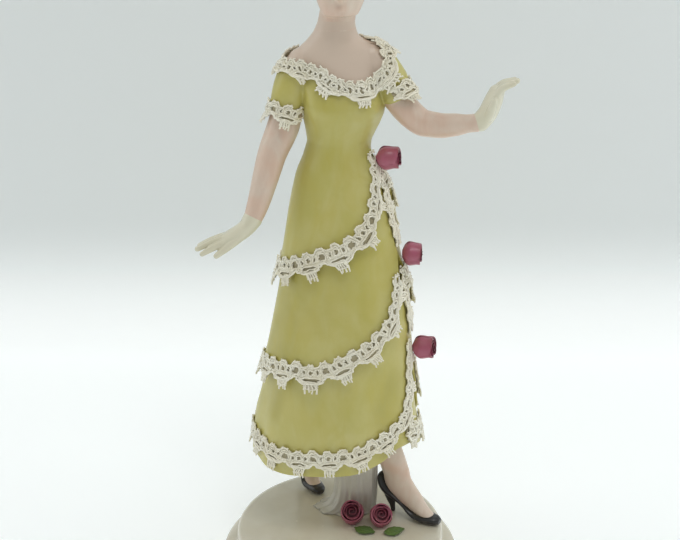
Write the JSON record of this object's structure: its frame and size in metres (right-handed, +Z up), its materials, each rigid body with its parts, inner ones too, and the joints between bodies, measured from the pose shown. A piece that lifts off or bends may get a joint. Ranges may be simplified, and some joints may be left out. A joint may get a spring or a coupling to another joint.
{
  "type": "porcelain lady figurine",
  "caption": "Glazed porcelain statuette of a standing lady in a tiered, lace-edged ball dress with applied roses, on a round stepped base.",
  "frame": {"origin": "centre of the base's underside, where the figurine stands", "axes": "+Z up through the lady; she faces -Y; +X is towards her left hand"},
  "size_m": [0.1173, 0.096, 0.2477],
  "materials": {
    "base_glaze": "warm ivory-grey glaze, softly shiny",
    "painted_porcelain": "hand-painted yellow-green dress, pale flesh skin, ivory gloves and black shoes under a satin glaze",
    "porcelain_lace": "ivory, glossy threads",
    "rose_glaze": "dusty magenta, burgundy inside, satin",
    "leaf_glaze": "green with pale edges, satin"
  },
  "bodies": {
    "root": {"base": "base_glaze", "figure": "painted_porcelain", "lace_neckline": "porcelain_lace", "lace_right_sleeve": "porcelain_lace", "lace_left_sleeve": "porcelain_lace", "lace_upper_tier": "porcelain_lace", "lace_middle_tier": "porcelain_lace", "lace_front_hem": "porcelain_lace", "lace_underskirt": "porcelain_lace", "lace_side_upper": "porcelain_lace", "lace_side_lower": "porcelain_lace", "rose_waist": "rose_glaze", "rose_hip": "rose_glaze", "rose_knee": "rose_glaze", "rose_base_left": "rose_glaze", "rose_base_right": "rose_glaze", "leaf_left": "leaf_glaze", "leaf_right": "leaf_glaze"}
  },
  "joints": []
}
